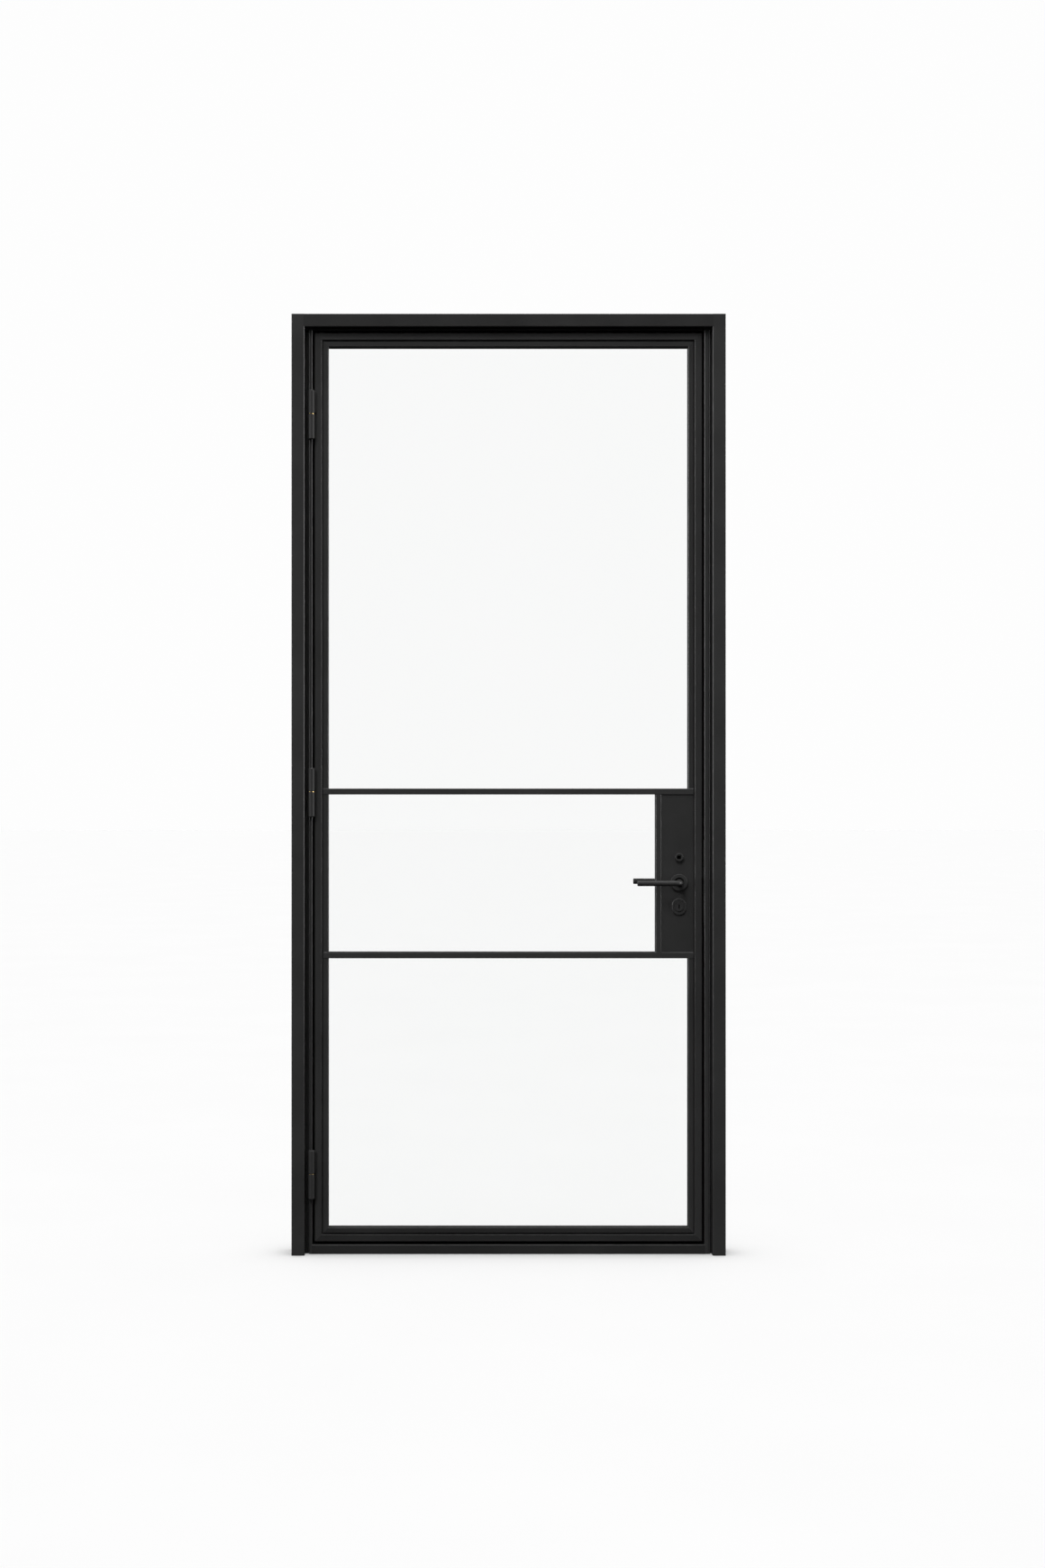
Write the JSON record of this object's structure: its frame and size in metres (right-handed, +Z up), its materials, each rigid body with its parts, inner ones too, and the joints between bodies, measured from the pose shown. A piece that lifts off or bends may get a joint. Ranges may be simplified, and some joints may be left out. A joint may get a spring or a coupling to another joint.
{
  "type": "glazed steel door",
  "caption": "Slim black steel door leaf with clear glass panes, lever handle and mortise lock, hung on barrel hinges in its welded steel frame",
  "frame": {"origin": "on the floor, at the middle of the frame's width and of its depth", "axes": "+X to the right and +Y away from a viewer on the pull side, +Z up"},
  "size_m": [1.153, 0.159, 2.5],
  "materials": {
    "black_paint": "satin black powder coat",
    "black_fittings": "satin black",
    "lock_steel": "zinc-plated and brushed",
    "seal_rubber": "matt",
    "clear_glass": "clear",
    "washer_brass": "plain",
    "block_plastic": "matt"
  },
  "bodies": {
    "frame": {"hinge_jamb": "black_paint", "strike_jamb": "black_paint", "frame_head": "black_paint", "threshold": "black_paint", "jamb_seals": "seal_rubber", "head_seal": "seal_rubber", "sill_seal": "seal_rubber", "fixing_sleeves": "lock_steel", "strike_plate": "black_fittings", "strike_screws": "black_fittings", "top_hinge_frame_half": "black_paint", "middle_hinge_frame_half": "black_paint", "bottom_hinge_frame_half": "black_paint", "hinge_pins": "lock_steel", "hinge_washers": "washer_brass"},
    "leaf": {"top_hinge_leaf_half": "black_paint", "middle_hinge_leaf_half": "black_paint", "bottom_hinge_leaf_half": "black_paint", "hinge_stile": "black_paint", "lock_stile": "black_paint", "top_rail": "black_paint", "bottom_rail": "black_paint", "upper_glazing_bar": "black_paint", "lower_glazing_bar": "black_paint", "lock_bar": "black_paint", "lock_front_plate": "black_paint", "lock_back_plate": "black_paint", "upper_beads": "black_paint", "middle_beads": "black_paint", "lower_beads": "black_paint", "front_rose": "black_fittings", "back_rose": "black_fittings", "front_service_head": "black_fittings", "back_service_head": "black_fittings", "front_escutcheon": "black_fittings", "back_escutcheon": "black_fittings", "escutcheon_screws": "black_fittings", "bead_screws": "black_fittings", "key_cylinders": "black_fittings", "forend": "black_fittings", "forend_screws": "black_fittings", "lock_case": "lock_steel", "lock_case_cover": "lock_steel", "latch_spring": "lock_steel", "front_gaskets": "seal_rubber", "back_gaskets": "seal_rubber", "upper_glass": "clear_glass", "middle_glass": "clear_glass", "lower_glass": "clear_glass", "setting_blocks": "block_plastic"},
    "lever": {"front_lever": "black_fittings", "back_lever": "black_fittings", "spindle": "lock_steel", "lock_follower": "lock_steel", "lever_set_screws": "lock_steel"},
    "latch": {"latch_bolt": "black_fittings"},
    "dead_bolt": {"dead_bolt": "lock_steel"},
    "key_plug": {"key_plug": "black_fittings"},
    "service": {"service_follower": "black_fittings"},
    "night_bolt": {"night_bolt": "lock_steel"}
  },
  "joints": [
    {"name": "leaf_swing", "type": "hinge", "parent": "frame", "child": "leaf", "pos_m": [-0.524, -0.0365, 1.2314], "axis": [0, 0, -1], "range_deg": [0, 160]},
    {"name": "lever_turn", "type": "hinge", "parent": "leaf", "child": "lever", "pos_m": [0.4546, -0.007, 0.9895], "axis": [0, -1, 0], "range_deg": [0, 45], "stiffness_Nm_per_rad": 1.5, "springref_deg": -28.65},
    {"name": "latch_slide", "type": "slide", "parent": "leaf", "child": "latch", "axis": [-1, 0, 0], "range_m": [0, 0.012], "deforming": ["latch_spring"]},
    {"name": "key_turn", "type": "hinge", "parent": "leaf", "child": "key_plug", "pos_m": [0.4546, -0.007, 0.925], "axis": [0, 1, 0], "range_deg": [0, 90]},
    {"name": "dead_bolt_slide", "type": "slide", "parent": "leaf", "child": "dead_bolt", "axis": [1, 0, 0], "range_m": [0, 0.02]},
    {"name": "service_turn", "type": "hinge", "parent": "leaf", "child": "service", "pos_m": [0.4546, -0.007, 1.057], "axis": [0, -1, 0], "range_deg": [0, 90]},
    {"name": "night_bolt_slide", "type": "slide", "parent": "leaf", "child": "night_bolt", "axis": [1, 0, 0], "range_m": [0, 0.014]}
  ],
  "couplings": [
    {"joint": "latch_slide", "follows": "lever_turn", "m_per_rad": 0.015278},
    {"joint": "key_turn", "follows": "dead_bolt_slide", "rad_per_m": 78.53},
    {"joint": "service_turn", "follows": "night_bolt_slide", "rad_per_m": 112.19}
  ]
}
